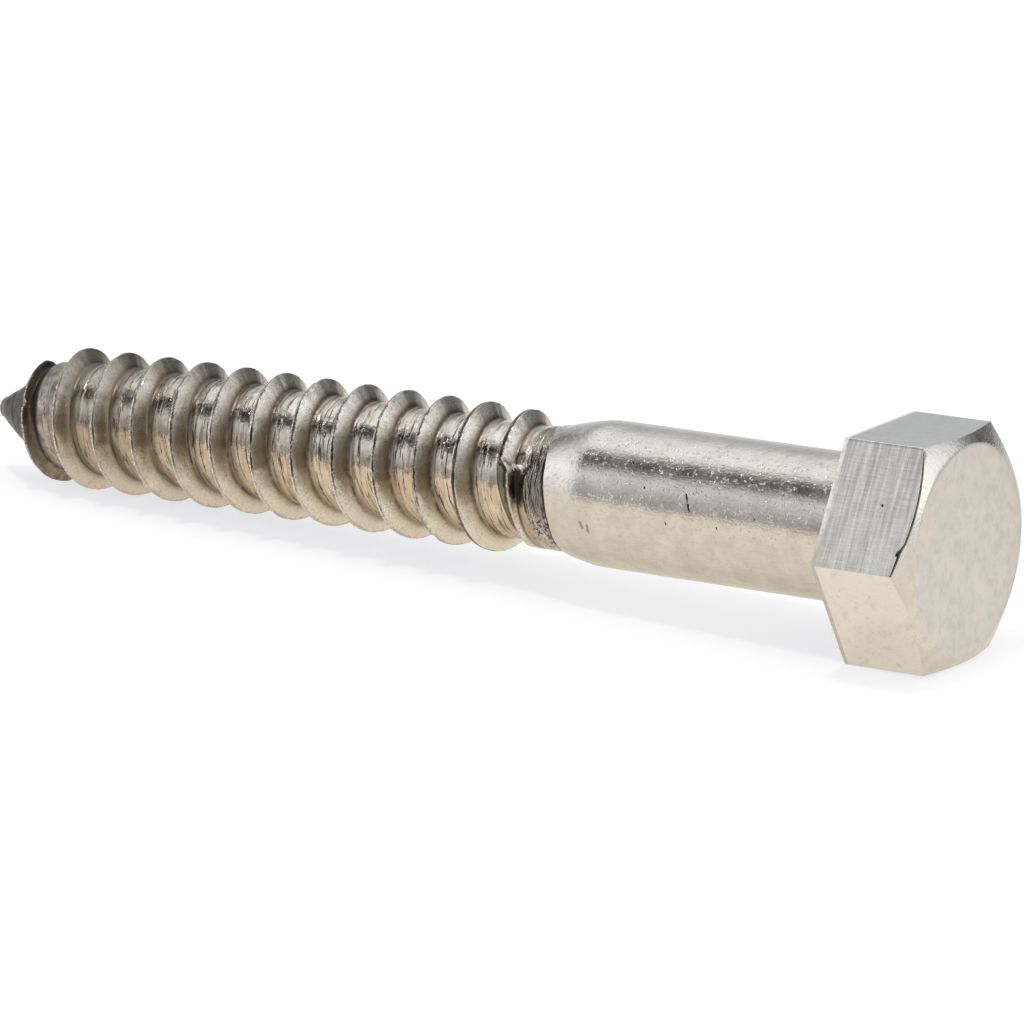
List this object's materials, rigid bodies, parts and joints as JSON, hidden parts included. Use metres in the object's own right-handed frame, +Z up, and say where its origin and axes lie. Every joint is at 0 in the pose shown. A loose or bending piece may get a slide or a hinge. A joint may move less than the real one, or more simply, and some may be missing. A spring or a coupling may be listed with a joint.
{
  "type": "lag screw",
  "caption": "Hex head lag screw with a plain shank, a coarse rolled wood thread and a blunt gimlet point, lying on its side.",
  "frame": {"origin": "centre of the head's bearing face, on the axis of the shank", "axes": "+X from the point to the head along the screw as it lies, +Z up; the screw's own axis rises 2.6 degrees towards the head, because it rests on one flat of the head and one thread crest"},
  "size_m": [0.0992, 0.022, 0.0194],
  "materials": {
    "steel": "bright rolled stainless steel with tool marks, slightly warm and worn"
  },
  "bodies": {
    "root": {"lag_screw": "steel"}
  },
  "joints": []
}
